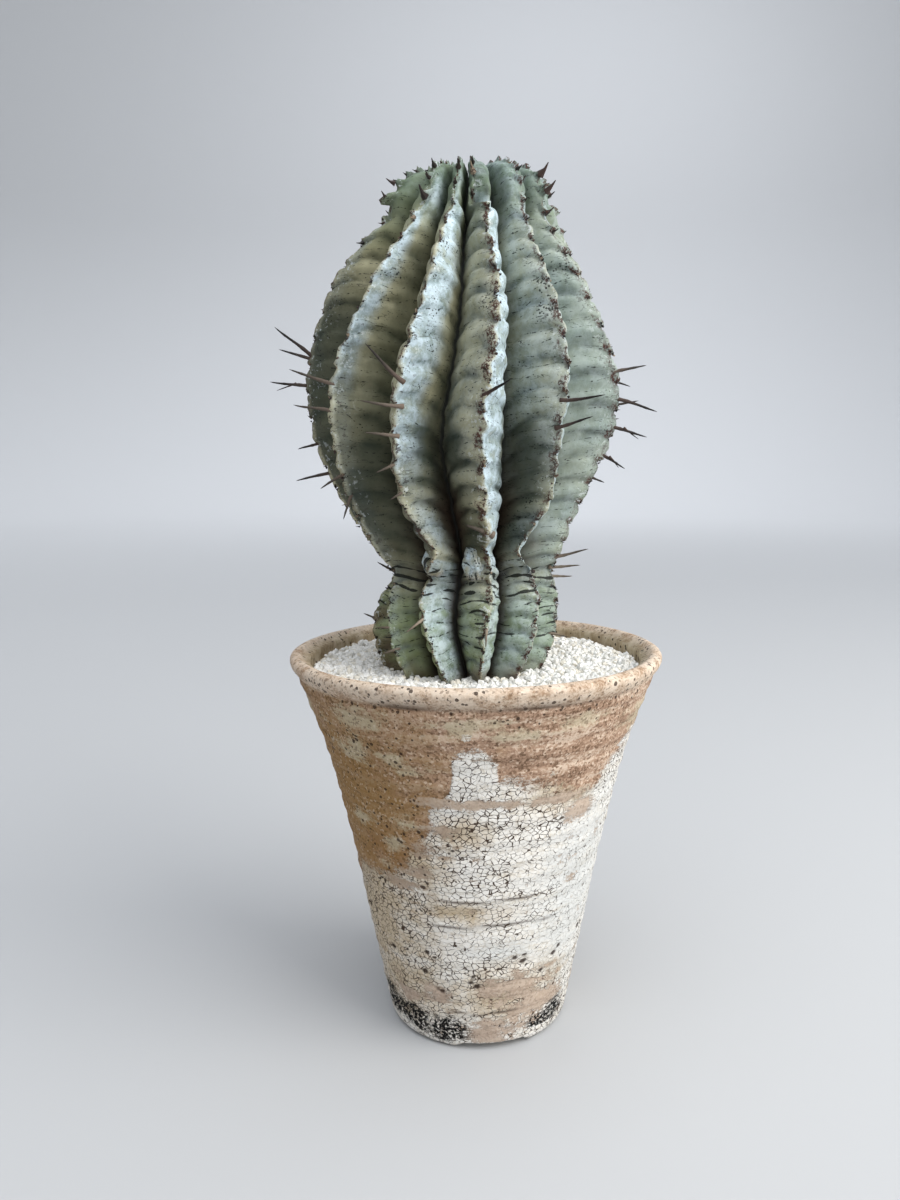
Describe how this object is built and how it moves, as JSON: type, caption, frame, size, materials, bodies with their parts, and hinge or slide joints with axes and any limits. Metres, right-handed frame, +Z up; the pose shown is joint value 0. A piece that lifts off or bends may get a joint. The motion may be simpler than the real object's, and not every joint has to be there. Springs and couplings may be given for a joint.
{
  "type": "potted African milk barrel",
  "caption": "Ribbed, waisted barrel succulent with toothed crests and long dry spines, standing in white gravel in a flared stoneware pot with a notched foot ring.",
  "frame": {"origin": "centre of the pot's foot ring, on the surface it stands on", "axes": "+Z up along the pot's axis; -Y is the side that the picture shows; +X to the right of it"},
  "size_m": [0.1538, 0.15, 0.3397],
  "materials": {
    "stoneware": "unglazed stoneware with a crackled white slip over its lower part, matte",
    "screen_plastic": "moulded net",
    "soil": "gritty potting mix of bark, pumice and clay granules, matte",
    "white_gravel": "small angular white stones, matte",
    "stem_skin": "waxy grey-green succulent skin with a pale bloom and corky brown crests, matte"
  },
  "bodies": {
    "root": {"pot": "stoneware", "drain_screen": "screen_plastic", "potting_mix": "soil", "gravel_top_dressing": "white_gravel", "milk_barrel_stem": "stem_skin"}
  },
  "joints": []
}
